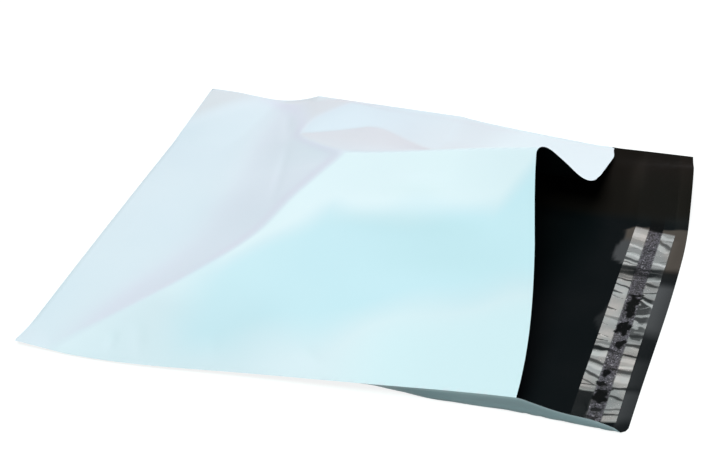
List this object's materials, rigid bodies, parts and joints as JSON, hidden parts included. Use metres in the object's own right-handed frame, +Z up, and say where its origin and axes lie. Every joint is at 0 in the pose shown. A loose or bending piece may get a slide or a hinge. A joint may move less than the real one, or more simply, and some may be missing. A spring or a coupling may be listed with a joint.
{
  "type": "plastic mailing bag",
  "caption": "Self-seal plastic mailing bag, white outside and black inside, lying part open with its flap out and a clear release liner over the adhesive stripe.",
  "frame": {"origin": "on the table, below the middle of the bag with its flap out", "axes": "+X from the bottom fold to the end of the flap, +Y from the near weld to the far weld, +Z up from the table"},
  "size_m": [0.2974, 0.232, 0.0546],
  "materials": {
    "film": "satin white film outside, glossy black inside",
    "adhesive": "tacky clear stripe on black film",
    "liner": "clear, glossy, wrinkled"
  },
  "bodies": {
    "root": {"bag_film": "film", "adhesive_strip": "adhesive", "release_liner": "liner"}
  },
  "joints": []
}
